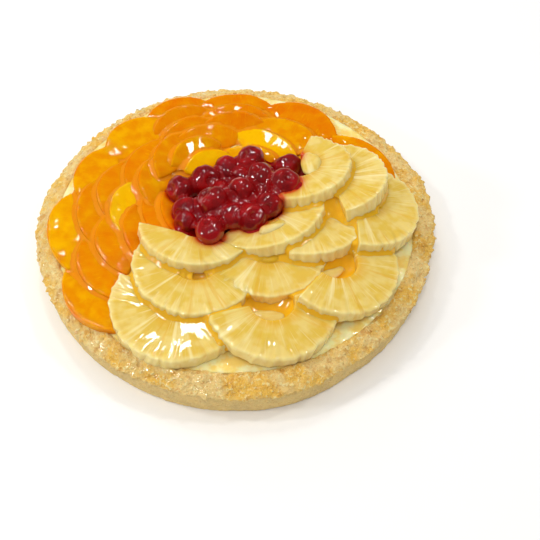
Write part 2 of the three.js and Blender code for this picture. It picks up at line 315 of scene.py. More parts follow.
def makeReliefGroup():
    # an uneven skin: coarse and fine ripples added up and turned into a normal
    group, given, result = newGroup("skinRelief", [
        ("Place", "NodeSocketVector", None), ("Coarse", "NodeSocketFloat", 150.0),
        ("Fine", "NodeSocketFloat", 500.0), ("Fine Share", "NodeSocketFloat", 0.35),
        ("Strength", "NodeSocketFloat", 0.3), ("Distance", "NodeSocketFloat", 0.001),
    ], [("Normal", "NodeSocketVector")])
    coarse = noiseOf(group, given["Place"], given["Coarse"])
    fine = noiseOf(group, given["Place"], given["Fine"], 3.0, 0.6)
    height = mathOf(group, "ADD", coarse, mathOf(group, "MULTIPLY", fine, given["Fine Share"]))
    group.links.new(bumpOf(group, height, given["Strength"], given["Distance"]), result["Normal"])
    return group


softMottle = makeMottleGroup()
skinRelief = makeReliefGroup()


def mottle(tree, place, scale, low, high, amount=1.0, detail=2.0):
    values = {"Place": place, "Scale": scale, "Detail": detail, "Low": low, "High": high, "Amount": amount}
    return addNode(tree, "ShaderNodeGroup", node_tree=softMottle, values=values).outputs["Mask"]


def relief(tree, place, coarse, fine, share, strength, distance):
    values = {
        "Place": place, "Coarse": coarse, "Fine": fine, "Fine Share": share, "Strength": strength,
        "Distance": distance,
    }
    return addNode(tree, "ShaderNodeGroup", node_tree=skinRelief, values=values).outputs["Normal"]


def wearMaterial(piece, material):
    piece.data.materials.clear()
    piece.data.materials.append(material)


makeCamera()
makeLights()
bpy.context.scene.view_settings.view_transform = "Standard"

bpy.ops.mesh.primitive_plane_add(size=6)
floor = newestAs("floor")
floorMaterial, tree = newMaterial("paleFloor")
setShader(tree, {"Base Color": (0.98, 0.98, 0.975, 1), "Roughness": 0.75})
wearMaterial(floor, floorMaterial)
print("camera, lights and floor ready")


# where the solids lie

creamLow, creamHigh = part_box("cream")
tartShift = Vector(((creamLow.x + creamHigh.x) / 2, (creamLow.y + creamHigh.y) / 2, 0))


def numbered(word, index):
    return f"{word}_{index + 1:02d}"


def bedPlane(name):
    # the flat underside of a solid: its normal and a point on it
    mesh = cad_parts[name].data
    normals = np.array([face.normal[:] for face in mesh.polygons])
    middles = np.array([face.center[:] for face in mesh.polygons])
    areas = np.array([face.area for face in mesh.polygons])
    keep = normals[:, 2] < -0.8
    for spread in (0.95, 0.99, 0.997):
        normal = (normals[keep] * areas[keep, None]).sum(0)
        normal /= np.linalg.norm(normal)
        offsets = middles @ normal
        order = np.argsort(offsets[keep])
        running = np.cumsum(areas[keep][order])
        middle = offsets[keep][order][np.searchsorted(running, running[-1] / 2)]
        near = (normals @ normal > spread) & (np.abs(offsets - middle) < 0.8 * mm)
        if near.any():
            keep = near
    point = (middles[keep] * areas[keep, None]).sum(0) / areas[keep].sum()
    return Vector(-normal), Vector(point)


def bedMatrix(name, x, y, facing):
    normal, point = bedPlane(name)
    spot = Vector((x * mm, y * mm, 0)) + tartShift
    spot.z = point.z - (normal.x * (spot.x - point.x) + normal.y * (spot.y - point.y)) / normal.z
    lean = Vector((0, 0, 1)).rotation_difference(normal).to_matrix().to_4x4()
    return Matrix.Translation(spot) @ lean @ Matrix.Rotation(math.radians(facing), 4, "Z")


# crust

crust = {
    "lipRadius": 127, "lipHeight": 18, "crestHeight": 24.5, "rimWidth": 14, "floorThickness": 7,
    "steps": 720, "spacing": 1.1,
    "sway": [
        (0, 1.2), (14, 2.4), (32, -0.4), (52, -1.6), (78, -1.6), (104, -0.8), (130, -1.4), (152, -2.0),
        (180, 0.2), (200, -1.6), (232, -0.6), (262, 1.2), (280, 2.0), (304, -1.2), (340, -1.6), (360, 1.2),
    ],
    "backSink": 1.7, "crumbs": 320, "crumbSize": (0.35, 1.1),
    "khaki": srgb(232, 202, 136), "gold": srgb(246, 196, 88), "pale": srgb(255, 234, 166),
    "brown": srgb(206, 138, 48), "wheat": srgb(246, 212, 138),
}


capRadius = 6  # a spun piece is capped inside this radius, in mm


def spinProfile(name, profile, spacing, steps):
    # profile points are (radius, height) in mm, from the middle out and back to it
    bpy.ops.mesh.primitive_plane_add(size=0.001)
    piece = newestAs(name)
    editAll(piece)
    bpy.ops.mesh.merge(type="CENTER")
    bpy.ops.transform.translate(value=(profile[0][0] * mm, 0, profile[0][1] * mm))
    for (fromR, fromZ), (toR, toZ) in zip(profile, profile[1:]):
        cuts = max(1, round(math.hypot(toR - fromR, toZ - fromZ) / spacing))
        if min(toR, fromR) < capRadius + 1:
            cuts = 4
        move = ((toR - fromR) / cuts * mm, 0, (toZ - fromZ) / cuts * mm)
        for _ in range(cuts):
            bpy.ops.mesh.extrude_vertices_move(TRANSFORM_OT_translate={"value": move})
    bpy.ops.mesh.select_all(action="SELECT")
    bpy.ops.mesh.spin(steps=steps, angle=math.tau, center=(0, 0, 0), axis=(0, 0, 1))
    bpy.ops.mesh.select_all(action="SELECT")
    bpy.ops.mesh.remove_doubles(threshold=0.00001)
    bpy.ops.mesh.fill_holes(sides=0)
    bpy.ops.mesh.normals_make_consistent(inside=False)
    leaveEdit()
    return piece


def rimSway(degrees):
    degrees %= 360
    for (fromAt, fromValue), (toAt, toValue) in zip(crust["sway"], crust["sway"][1:]):
        if degrees <= toAt:
            share = (degrees - fromAt) / (toAt - fromAt)
            share = share * share * (3 - 2 * share)
            return fromValue + (toValue - fromValue) * share
    return crust["sway"][0][1]


def makeCrust():
    lip, top, crest = crust["lipRadius"], crust["lipHeight"], crust["crestHeight"]
    inner = lip - crust["rimWidth"]
    profile = [
        (capRadius, 0), (lip - 4.4, 0), (lip - 2.6, 0.5), (lip - 1.9, 1.4),
        (lip - 1.0, top * 0.45), (lip - 1.3, top * 0.8), (lip - 0.9, top - 1.2),
        (lip + 0.3, top - 0.3), (lip + 0.2, top + 0.7), (lip - 1.5, top + 2.0),
        (lip - 6, crest - 1.5), (lip - 9.5, crest - 0.2), (inner + 1.2, crest - 0.9), (inner, crest - 3),
        (inner - 2.5, crust["floorThickness"]), (capRadius, crust["floorThickness"]),
    ]
    piece = spinProfile("bakedCrust", profile, crust["spacing"], crust["steps"])
    applyModifier(piece, "SMOOTH", factor=0.5, iterations=2)
    points = pointsOf(piece)
    reach = np.hypot(points[:, 0], points[:, 1])
    angle = np.degrees(np.arctan2(points[:, 1], points[:, 0]))
    sway = np.array([rimSway(a) for a in angle]) * mm
    outward = np.clip((reach / mm - inner) / (lip - inner), 0, 1)
    along = points[:, :2] / np.maximum(reach, 1e-6)[:, None]
    lipShare = np.exp(-((points[:, 2] / mm - top) / 1.6) ** 2) * (outward > 0.8)
    shoulder = np.clip((points[:, 2] / mm - top) / 2.5, 0, 1) * (reach > (inner - 1) * mm)
    wall = (outward > 0.8) & (points[:, 2] < top * mm)
    big = lumps(points, 14 * mm, 1)
    small = lumps(points, 4.5 * mm, 2)
    tiny = lumps(points, 1.7 * mm, 3)
    ragged = lumps(points, 3.4 * mm, 5)
    move = sway * np.clip(outward * 1.25, 0, 1)
    pits = np.clip(lumps(points, 2.6 * mm, 6) - 0.12, 0, 1)
    move += mm * wall * (0.5 * big + 0.45 * small + 0.35 * tiny)
    move += mm * lipShare * (1.7 * ragged + 1.2 * np.abs(small) + 0.8 * tiny)
    points[:, :2] += along * move[:, None]
    rise = mm * shoulder * (1.5 * big + 1.3 * small + 1.0 * tiny - 1.8 * pits)
    rise += mm * lipShare * 1.3 * ragged
    rise -= mm * shoulder * crust["backSink"] * np.clip(np.sin(np.radians(angle)), 0, 1) ** 1.5
    low = points[:, 2] < 1.5 * mm
    points[:, 2] += np.where(low, 0, rise)
    points[:, 2] = np.maximum(points[:, 2], 0)
    points += np.array(tartShift)
    setPoints(piece, points)
    smoothShade(piece)
    return piece


def crustMaterial():
    material, tree = newMaterial("bakedPastry")
    place = objectPlace(tree)
    parts = addNode(tree, "ShaderNodeSeparateXYZ", {"Vector": place})
    ragged = mathOf(tree, "MULTIPLY", mathOf(tree, "SUBTRACT", noiseOf(tree, place, 420, 3, 0.6), 0.5), 0.005)
    top = mapped(tree, mathOf(tree, "ADD", parts.outputs["Z"], ragged), 0.0165, 0.0195)
    wall = mixed(tree, mottle(tree, place, 80, 0.38, 0.62), crust["khaki"], crust["wheat"])
    golden = mixed(tree, mottle(tree, place, 70, 0.40, 0.62), crust["gold"], crust["wheat"])
    golden = mixed(tree, mottle(tree, place, 190, 0.55, 0.68, 0.55), golden, crust["brown"])
    golden = mixed(tree, mottle(tree, place, 420, 0.54, 0.64, 0.8, 3), golden, crust["pale"])
    base = mixed(tree, top, wall, golden)
    base = mixed(tree, mottle(tree, place, 1300, 0.58, 0.68, 0.6), base, crust["pale"])
    base = mixed(tree, mottle(tree, place, 900, 0.60, 0.70, 0.55), base, crust["brown"])
    left = mapped(tree, parts.outputs["X"], 0.03, -0.06)
    wet = mathOf(tree, "MULTIPLY", mathOf(tree, "MULTIPLY", left, top), mottle(tree, place, 120, 0.46, 0.56))
    setShader(tree, {
        "Base Color": base, "Roughness": 0.8, "Specular IOR Level": 0.2,
        "Subsurface Weight": 0.12, "Subsurface Scale": 0.002, "Subsurface Radius": (1.0, 0.6, 0.3),
        "Coat Weight": wet, "Coat Roughness": 0.1,
        "Normal": relief(tree, place, 420, 1100, 0.6, 0.9, 0.0022),
    })
    return material


def makeCrumbs(ground):
    # crumbs of crust lying on its lip and shoulder
    draw = random.Random(64)
    points = pointsOf(ground)
    reach = np.hypot(points[:, 0] - tartShift.x, points[:, 1] - tartShift.y) / mm
    onTop = np.flatnonzero((points[:, 2] > 17.5 * mm) & (reach > crust["lipRadius"] - crust["rimWidth"] + 2))
    bpy.ops.mesh.primitive_ico_sphere_add(subdivisions=2, radius=1)
    model = bpy.context.object
    setPoints(model, pointsOf(model) * (1 + 0.35 * lumps(pointsOf(model), 0.6, 8))[:, None])
    loose = []
    for index in range(crust["crumbs"]):
        crumb = copyOf(model, f"crumb_{index}")
        smallest, largest = crust["crumbSize"]
        size = smallest + (largest - smallest) * draw.random() ** 2
        crumb.scale = [size * draw.uniform(0.7, 1.3) * mm for _ in range(3)]
        crumb.rotation_euler = [draw.uniform(0, 6.3) for _ in range(3)]
        crumb.location = points[onTop[draw.randrange(len(onTop))]]
        loose.append(crumb)
    discard(model)
    bpy.ops.object.select_all(action="DESELECT")
    for crumb in loose:
        crumb.select_set(True)
    bpy.context.view_layer.objects.active = loose[0]
    bpy.ops.object.join()
    bpy.ops.object.transform_apply(location=True, rotation=True, scale=True)
    return newestAs("crustCrumbs")


pastry = crustMaterial()
bakedCrust = makeCrust()
wearMaterial(bakedCrust, pastry)
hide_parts("crust")
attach(bakedCrust, "root")
crustCrumbs = makeCrumbs(bakedCrust)
wearMaterial(crustCrumbs, pastry)
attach(crustCrumbs, "root")
print("crust baked:", len(bakedCrust.data.polygons), "faces")


# cream

cream = {
    "radius": 113, "edgeHeight": 23, "dome": 2.2, "clearance": 0.35, "steps": 400, "spacing": 1.5,
    "pale": srgb(255, 246, 184), "deep": srgb(252, 216, 116),
}


def makeCream():
    inner, edge = cream["radius"], cream["edgeHeight"]
    bottom = crust["floorThickness"] + cream["clearance"]
    shares = (0.94, 0.78, 0.56, 0.3, capRadius / inner)
    arc = [(inner * share, edge + cream["dome"] * (1 - share * share)) for share in shares]
    profile = [
        (capRadius, bottom), (inner - 3.1, bottom), (inner, 20.5), (inner + 1.6, edge - 0.4),
        (inner - 1, edge + 0.4), *arc,
    ]
    piece = spinProfile("creamFilling", profile, cream["spacing"], cream["steps"])
    applyModifier(piece, "SMOOTH", factor=0.5, iterations=2)
    points = pointsOf(piece)
    upper = np.clip((points[:, 2] / mm - 21) / 1.5, 0, 1)
    points[:, 2] += mm * upper * (0.9 * lumps(points, 16 * mm, 11) + 0.45 * lumps(points, 5 * mm, 12))
    points += np.array(tartShift)
    setPoints(piece, points)
    smoothShade(piece)
    return piece


def creamMaterial():
    material, tree = newMaterial("paleCream")
    place = objectPlace(tree)
    setShader(tree, {
        "Base Color": mixed(tree, mottle(tree, place, 90, 0.4, 0.62, 1.0, 3), cream["pale"], cream["deep"]),
        "Roughness": 0.4, "Specular IOR Level": 0.1,
        "Subsurface Weight": 0.4, "Subsurface Scale": 0.004, "Subsurface Radius": (1.0, 0.7, 0.3),
        "Coat Weight": 0.8, "Coat Roughness": 0.08, "Normal": relief(tree, place, 220, 600, 0.4, 0.35, 0.001),
    })
    return material


creamFilling = makeCream()
wearMaterial(creamFilling, creamMaterial())
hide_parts("cream")
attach(creamFilling, "root")
print("cream filled")


# peach slices

juiceRed = srgb(206, 36, 0)  # where cherry juice runs into the fruit beside it

peach = {
    "arcRadius": 35, "length": 56, "width": 24, "skinThickness": 6.6, "coreThickness": 3.2,
    "rounding": 1.9, "voxel": 0.75, "unevenness": 1.1,
    "bright": srgb(242, 184, 2), "amber": srgb(226, 144, 0), "deep": srgb(222, 116, 0),
    # x and y of the middle of the rounded edge, the way it faces, length and width
    "slices": [
        (-97, -73, 218, 56, 24), (-118, -11, 184, 62, 26), (-104, 42, 162, 56, 30), (-77, 82, 130, 54, 34),
        (-44, 105, 115, 50, 25), (2, 110, 90, 56, 24), (56, 95, 58, 58, 30), (96, 53, 41, 58, 22),
        (-95, -46, 204, 54, 26), (-101, 4, 181, 56, 24), (-88, 26, 165, 54, 28), (-41, 94, 120, 46, 24),
        (3, 98, 90, 48, 22), (42, 80, 62, 54, 30),
        (-87, -25, 192, 52, 28), (-80, 6, 176, 48, 26), (-70, 46, 160, 56, 26), (-36, 82, 120, 44, 22),
        (1, 89, 92, 46, 22), (-69, -22, 196, 52, 24),
        (-56, -8, 203, 58, 26), (-63, 28, 176, 46, 24), (-51, 55, 155, 48, 24), (-18, 76, 98, 48, 22),
        (29, 67, 58, 50, 22),
        (-42, -14, 212, 56, 24), (-31, 60, 122, 40, 22), (-17, 52, 104, 38, 22), (16, 55, 72, 42, 22),
    ],
    "paleSlices": {
        0: 0.45, 1: 0.6, 2: 0.45, 3: 0.5, 7: 0.35, 8: 0.25, 12: 0.08, 13: 0.45, 14: 0.2, 15: 1.0,
        18: 0.08, 24: 1.0, 26: 0.5, 27: 1.0, 28: 0.7,
    },
}


def modelPeachSlice():
    # a grid drawn up into a slab, bent to the slice's crescent and rounded
    bpy.ops.mesh.primitive_grid_add(x_subdivisions=24, y_subdivisions=64, size=2)
    piece = newestAs("peachSlice")
    editAll(piece)
    bpy.ops.mesh.extrude_region_move(TRANSFORM_OT_translate={"value": (0, 0, 1)})
    bpy.ops.mesh.select_all(action="SELECT")
    bpy.ops.mesh.normals_make_consistent(inside=False)
    leaveEdit()
    points = pointsOf(piece)
    arc = peach["arcRadius"]
    share = (1 - points[:, 0]) / 2
    along = points[:, 1] * 0.985
    deep = peach["width"] * (1 - np.abs(along) ** 2.3) ** 0.62
    angle = along * math.asin(peach["length"] / 2 / arc)
    reach = arc - deep * share
    thick = peach["skinThickness"] * (1 - share) + peach["coreThickness"] * share
    thick *= 1 - 0.45 * np.abs(along) ** 3
    points = np.stack([reach * np.cos(angle) - arc, reach * np.sin(angle), thick * points[:, 2]], 1)
    setPoints(piece, points * mm)
    width = peach["rounding"] * mm
    applyModifier(piece, "BEVEL", width=width, segments=4, limit_method="ANGLE", angle_limit=0.7)
    applyModifier(piece, "REMESH", mode="VOXEL", voxel_size=peach["voxel"] * mm)
    applyModifier(piece, "SMOOTH", factor=0.5, iterations=6)
    return piece


def makePeachSlices():
    model = modelPeachSlice()
    draw = random.Random(21)
    made = []
    for index, (x, y, facing, length, width) in enumerate(peach["slices"]):
        name = numbered("peach", index)
        piece = copyOf(model, f"peachSlice_{index + 1:02d}")
        points = pointsOf(piece)
        inward = np.clip(-points[:, 0] / mm / peach["width"], 0, 1)
        across = np.abs(points[:, 1]) / mm / (peach["length"] / 2)
        local = points.copy()
        points *= (width / peach["width"], length / peach["length"] * 1.03, draw.uniform(0.94, 1.08))
        points += mm * peach["unevenness"] * lumpsVector(points, 22 * mm, index + 1) * (0.6, 0.6, 0.5)
        points[:, 2] += mm * 0.25 * lumps(points, 6 * mm, index + 40)
        matrix = bedMatrix(name, x, y, facing)
        setPoints(piece, points @ np.array(matrix.to_3x3()).T + np.array(matrix.translation))
        tone = peach["paleSlices"].get(index, draw.uniform(0.0, 0.35))
        setValues(piece, "inward", inward)
        setValues(piece, "across", across)
        setValues(piece, "tone", np.full(len(points), tone))
        setValues(piece, "slicePlace", local + index * 0.1)
        smoothShade(piece)
        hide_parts(name)
        made.append(piece)
    discard(model)
    return made


def peachMaterial():
    material, tree = newMaterial("glazedPeach")
    place = objectPlace(tree)
    local = attributeOf(tree, "slicePlace", "Vector")
    inward = attributeOf(tree, "inward")
    tone = attributeOf(tree, "tone")
    fibre = noiseOf(tree, local, 160, 3, 0.6, stretch=(1.0, 6.0, 1.0))
    rim = mapped(tree, inward, 0.0, 0.10, 0.35, 1.0)
    glow = mathOf(tree, "ADD", mathOf(tree, "MULTIPLY", tone, 0.9), mottle(tree, place, 110, 0.2, 0.8, 0.5))
    glow = mathOf(tree, "MULTIPLY", mapped(tree, glow, 0.1, 1.15, smooth=False), rim)
    base = mixed(tree, mapped(tree, glow, 0, 0.5, smooth=False), peach["deep"], peach["amber"])
    base = mixed(tree, mapped(tree, glow, 0.45, 1, smooth=False), base, peach["bright"])
    base = mixed(tree, mapped(tree, fibre, 0.55, 0.75, 0, 0.35), base, peach["bright"])
    base = mixed(tree, mapped(tree, inward, 0.7, 1.0, 0, 0.6), base, peach["deep"])
    base = mixed(tree, attributeOf(tree, "juice"), base, juiceRed)
    setShader(tree, {
        "Base Color": base, "Roughness": 0.7, "Specular IOR Level": 0.0,
        "Subsurface Weight": 0.2, "Subsurface Scale": 0.003, "Subsurface Radius": (1.0, 0.45, 0.08),
        "Coat Weight": 1.0, "Coat Roughness": 0.02, "Coat IOR": 1.35,
        "Normal": relief(tree, place, 110, 300, 0.1, 0.5, 0.001),
    })
    return material


peachFlesh = peachMaterial()
peachSlices = makePeachSlices()
for piece in peachSlices:
    wearMaterial(piece, peachFlesh)
    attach(piece, "root")
print("peach slices laid:", len(peachSlices))


# pineapple half rings

pineapple = {
    "radius": 38, "holeRadius": 13, "thickness": 8.8, "rounding": 1.1, "voxel": 0.65,
    "lobes": 22, "lobeShare": 0.022, "ridges": 41, "ridgeShare": 0.006, "unevenness": 0.9,
    "pale": srgb(234, 208, 122), "yellow": srgb(226, 191, 80), "deep": srgb(224, 168, 32),
    "white": srgb(246, 230, 168),
    # x and y of the ring's middle, the way the round side faces, radius, and where the straight cut runs
    "rings": [
        (-33, -70, 244, 41, -3), (20, -73, 286, 39, 0), (59, -47, 322, 38.5, -2), (77, -3, 358, 38.5, -3),
        (-24, -46, 243, 38.5, -2), (19, -33, 294, 37.5, -3), (46, -9, 342, 38, -2), (63, 14, 12, 35.5, -1),
        (-24, -17, 254, 36.5, 11), (21, -6, 310, 37.5, -2), (43, 22, 337, 33.5, -3),
    ],
}


def modelPineappleRing():
    # a disc inset on both faces, with the hole bridged through
    depth = pineapple["thickness"] * mm
    bpy.ops.mesh.primitive_cylinder_add(
        vertices=96, radius=pineapple["radius"] * mm, depth=depth, location=(0, 0, depth / 2))
    piece = newestAs("pineappleRing")
    bpy.ops.object.transform_apply(location=True)
    bpy.ops.object.mode_set(mode="EDIT")
    bpy.ops.mesh.select_mode(type="FACE")
    bpy.ops.mesh.select_all(action="DESELECT")
    leaveEdit()
    for face in piece.data.polygons:
        face.select = abs(face.normal.z) > 0.9
    bpy.ops.object.mode_set(mode="EDIT")
    bpy.ops.mesh.inset(thickness=(pineapple["radius"] - pineapple["holeRadius"]) * mm)
    bpy.ops.mesh.bridge_edge_loops()
    bpy.ops.mesh.select_all(action="SELECT")
    bpy.ops.mesh.normals_make_consistent(inside=False)
    bpy.ops.mesh.select_mode(type="VERT")
    leaveEdit()
    return piece


def makePineappleRings():
    model = modelPineappleRing()
    draw = random.Random(33)
    made = []
    for index, (x, y, facing, radius, cut) in enumerate(pineapple["rings"]):
        name = numbered("pineapple", index)
        piece = copyOf(model, f"pineappleHalf_{index + 1:02d}")
        points = pointsOf(piece)
        points[:, :2] *= radius / pineapple["radius"]
        points[:, 2] *= draw.uniform(0.94, 1.06)
        setPoints(piece, points)
        editAll(piece)
        bpy.ops.mesh.bisect(plane_co=(cut * mm, 0, 0), plane_no=(-1, 0, 0), use_fill=True, clear_outer=True)
        leaveEdit()
        width = pineapple["rounding"] * mm
        applyModifier(piece, "BEVEL", width=width, segments=3, limit_method="ANGLE", angle_limit=0.7)
        applyModifier(piece, "REMESH", mode="VOXEL", voxel_size=pineapple["voxel"] * mm)
        applyModifier(piece, "SMOOTH", factor=0.5, iterations=4)
        points = pointsOf(piece)
        angle = np.arctan2(points[:, 1], points[:, 0])
        reach = np.hypot(points[:, 0], points[:, 1]) / mm
        outer = np.clip((reach / radius - 0.55) / 0.45, 0, 1)
        turn = draw.uniform(0, 6)
        wander = lumps(points, 16 * mm, index + 70)
        lobes = np.abs(np.sin(angle * pineapple["lobes"] / 2 + turn + 1.4 * wander)) ** 0.6
        ridges = np.sin(angle * pineapple["ridges"] + 2.2 * wander * 3) * outer
        swell = pineapple["lobeShare"] * (lobes - 0.7) + pineapple["ridgeShare"] * ridges + 0.03 * wander
        points[:, :2] *= (1 + swell * outer ** 2)[:, None]
        level = points[:, 2] / mm / pineapple["thickness"]
        face = np.clip((level - 0.6) / 0.3, 0, 1)
        points[:, 2] += mm * face * (0.22 * ridges * outer + 0.45 * (lobes - 0.6) * outer + 0.5 * wander)
        uneven = lumpsVector(points, 26 * mm, index + 90) * (0.4, 0.4, 0.7)
        points += mm * pineapple["unevenness"] * uneven
        setValues(piece, "polar", np.stack([angle * 38 * mm + index, reach * mm, points[:, 2]], 1))
        hole = pineapple["holeRadius"]
        setValues(piece, "outward", np.clip((reach - hole) / (radius - hole), 0, 1))
        matrix = bedMatrix(name, x, y, facing)
        setPoints(piece, points @ np.array(matrix.to_3x3()).T + np.array(matrix.translation))
        smoothShade(piece)
        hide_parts(name)
        made.append(piece)
    discard(model)
    return made


def pineappleMaterial():
    material, tree = newMaterial("pineappleFlesh")
    place = objectPlace(tree)
    polar = attributeOf(tree, "polar", "Vector")
    outward = attributeOf(tree, "outward")
    fibre = noiseOf(tree, polar, 130, 3, 0.6, stretch=(1.0, 0.10, 0.4))
    thread = noiseOf(tree, polar, 620, 2, 0.6, stretch=(1.0, 0.07, 0.2))
    base = mixed(tree, mottle(tree, place, 90, 0.38, 0.62), pineapple["yellow"], pineapple["pale"])
    base = mixed(tree, mapped(tree, outward, 0.35, 0.0, 0, 0.7), base, pineapple["deep"])
    base = mixed(tree, mapped(tree, outward, 0.86, 1.0, 0, 0.5), base, pineapple["white"])
    base = mixed(tree, mapped(tree, fibre, 0.54, 0.70, 0, 0.8), base, pineapple["white"])
    base = mixed(tree, mapped(tree, fibre, 0.44, 0.32, 0, 0.4), base, pineapple["deep"])
    base = mixed(tree, mapped(tree, thread, 0.58, 0.72, 0, 0.4), base, pineapple["white"])
    base = mixed(tree, attributeOf(tree, "juice"), base, juiceRed)
    strands = mathOf(tree, "ADD", mathOf(tree, "MULTIPLY", fibre, 0.7), mathOf(tree, "MULTIPLY", thread, 0.3))
    wetSkin = relief(tree, place, 130, 450, 0.25, 0.4, 0.001)
    setShader(tree, {
        "Base Color": base, "Roughness": 0.6, "Specular IOR Level": 0.05,
        "Subsurface Weight": 0.45, "Subsurface Scale": 0.006, "Subsurface Radius": (1.0, 0.85, 0.4),
        "Coat Weight": 1.0, "Coat Roughness": 0.02, "Coat IOR": 1.5,
        "Normal": bumpOf(tree, strands, 0.4, 0.0008, wetSkin),
    })
    return material


pineappleFlesh = pineappleMaterial()
pineappleHalves = makePineappleRings()
for piece in pineappleHalves:
    wearMaterial(piece, pineappleFlesh)
    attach(piece, "root")
print("pineapple laid:", len(pineappleHalves))


# cherries

cherry = {
    "sides": 44, "rows": 30, "dimple": 0.42, "dimpleWidth": 0.27,
    "red": srgb(160, 0, 4), "dark": srgb(112, 0, 4), "bright": srgb(196, 4, 6),
    # x, y and radius, from the bottom of the pile up
    "places": [
        (12, 37, 9.8), (35, 34, 10.2), (-4, 33, 9.4), (-18, 23, 10), (-34, 16, 9.2), (-30, -4, 8.8),
        (-30, -13, 7.4), (-15, -26, 9), (-1, -13, 8.6), (11, -15, 9.8), (22, -8, 8.2), (33, 7, 9.6),
        (4, 26, 9), (-7, 11, 9), (19, 7, 9.4), (-14, -2, 10), (5, 5, 9.6), (18, 18, 9.4),
    ],
}


def modelCherry():
    bpy.ops.mesh.primitive_uv_sphere_add(segments=cherry["sides"], ring_count=cherry["rows"], radius=1)
    piece = newestAs("cherryBall")
    points = pointsOf(piece)
    reach = np.hypot(points[:, 0], points[:, 1])
    pit = np.exp(-(reach / cherry["dimpleWidth"]) ** 2) * (points[:, 2] > 0)
    points[:, 2] -= cherry["dimple"] * pit
    setPoints(piece, points)
    return piece


def makeCherries():
    model = modelCherry()
    draw = random.Random(45)
    made = []
    for index, (x, y, radius) in enumerate(cherry["places"]):
        name = numbered("cherry", index)
        piece = copyOf(model, f"cherryRed_{index + 1:02d}")
        points = pointsOf(piece)
        points[:, 2] *= draw.uniform(0.88, 0.96)
        swell = 0.12 * lumps(points, 1.1, index + 120) + 0.06 * lumps(points, 0.4, index + 150)
        points *= 1 + swell[:, None]
        tilt = Matrix.Rotation(draw.uniform(-0.9, 1.2), 3, "X")
        tilt = tilt @ Matrix.Rotation(draw.uniform(-0.9, 0.9), 3, "Y")
        tilt = tilt @ Matrix.Rotation(draw.uniform(0, 6.3), 3, "Z")
        points = points @ np.array(tilt).T * radius * mm
        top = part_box(name)[1].z
        points[:, 2] += top - points[:, 2].max()
        points[:, :2] += (x * mm + tartShift.x, y * mm + tartShift.y)
        setPoints(piece, points)
        smoothShade(piece)
        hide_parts(name)
        made.append(piece)
    discard(model)
    return made


def cherryMaterial():
    material, tree = newMaterial("syrupCherry")
    place = objectPlace(tree)
    base = mixed(tree, mottle(tree, place, 110, 0.3, 0.7), cherry["dark"], cherry["red"])
    base = mixed(tree, mottle(tree, place, 500, 0.6, 0.75, 0.3, 3), base, cherry["bright"])
    setShader(tree, {
        "Base Color": base, "Roughness": 0.5, "Specular IOR Level": 0.1,
        "Subsurface Weight": 0.2, "Subsurface Scale": 0.003, "Subsurface Radius": (1.0, 0.1, 0.05),
        "Coat Weight": 1.0, "Coat Roughness": 0.02, "Coat IOR": 1.58,
        "Normal": relief(tree, place, 220, 500, 0.3, 0.4, 0.001),
    })
    return material


cherryFlesh = cherryMaterial()
cherries = makeCherries()
for piece in cherries:
    wearMaterial(piece, cherryFlesh)
    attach(piece, "root")
print("cherries piled:", len(cherries))


# glaze in the folds between the fruit

# millimetres, with rounds of smoothing and the coat's refractive index as gloss
glaze = {
    "peach": {
        "grow": 2.4, "shrink": 2.75, "voxel": 1.3, "rounds": 4, "drop": 0.1,
        "gloss": 1.4, "colour": srgb(238, 142, 0),
    },
    "pineapple": {
        "grow": 1.6, "shrink": 2.1, "voxel": 1.2, "rounds": 3, "drop": 0.1,
        "gloss": 1.42, "colour": srgb(242, 182, 38),
    },
    "cherry": {
        "grow": 2.6, "shrink": 2.9, "voxel": 1.0, "rounds": 4, "drop": 0.6,
        "gloss": 1.58, "colour": srgb(142, 0, 4),
    },
}


def makeGlaze(name, pieces, sizes):
    # the fruit's joined skin, swollen until its folds close and shrunk back to just under the fruit
    piece = joined(pieces, name)
    applyModifier(piece, "DISPLACE", strength=sizes["grow"] * mm, mid_level=0)
    applyModifier(piece, "REMESH", mode="VOXEL", voxel_size=sizes["voxel"] * mm)
    applyModifier(piece, "SMOOTH", factor=0.5, iterations=sizes["rounds"])
    applyModifier(piece, "DISPLACE", strength=-sizes["shrink"] * mm, mid_level=0)
    applyModifier(piece, "SMOOTH", factor=0.5, iterations=2)
    points = pointsOf(piece)
    points[:, 2] -= sizes["drop"] * mm
    setPoints(piece, points)
    smoothShade(piece)
    return piece


def glazeMaterial(name, colour, gloss):
    material, tree = newMaterial(name)
    place = objectPlace(tree)
    setShader(tree, {
        "Base Color": mixed(tree, attributeOf(tree, "juice"), colour, juiceRed),
        "Roughness": 0.4, "Specular IOR Level": 0.1,
        "Subsurface Weight": 0.4, "Subsurface Scale": 0.005, "Subsurface Radius": (1.0, 0.85, 0.5),
        "Coat Weight": 1.0, "Coat Roughness": 0.02, "Coat IOR": gloss,
        "Normal": relief(tree, place, 140, 450, 0.25, 0.4, 0.001),
    })
    return material


glazes = []
for kind, pieces in (("peach", peachSlices), ("pineapple", pineappleHalves), ("cherry", cherries)):
    piece = makeGlaze(kind + "Glaze", pieces, glaze[kind])
    wearMaterial(piece, glazeMaterial(kind + "Syrup", glaze[kind]["colour"], glaze[kind]["gloss"]))
    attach(piece, "root")
    glazes.append(piece)
    print(kind, "glaze:", len(piece.data.polygons), "faces")


# syrup that fills the hollows between the half rings, and red juice round the cherries

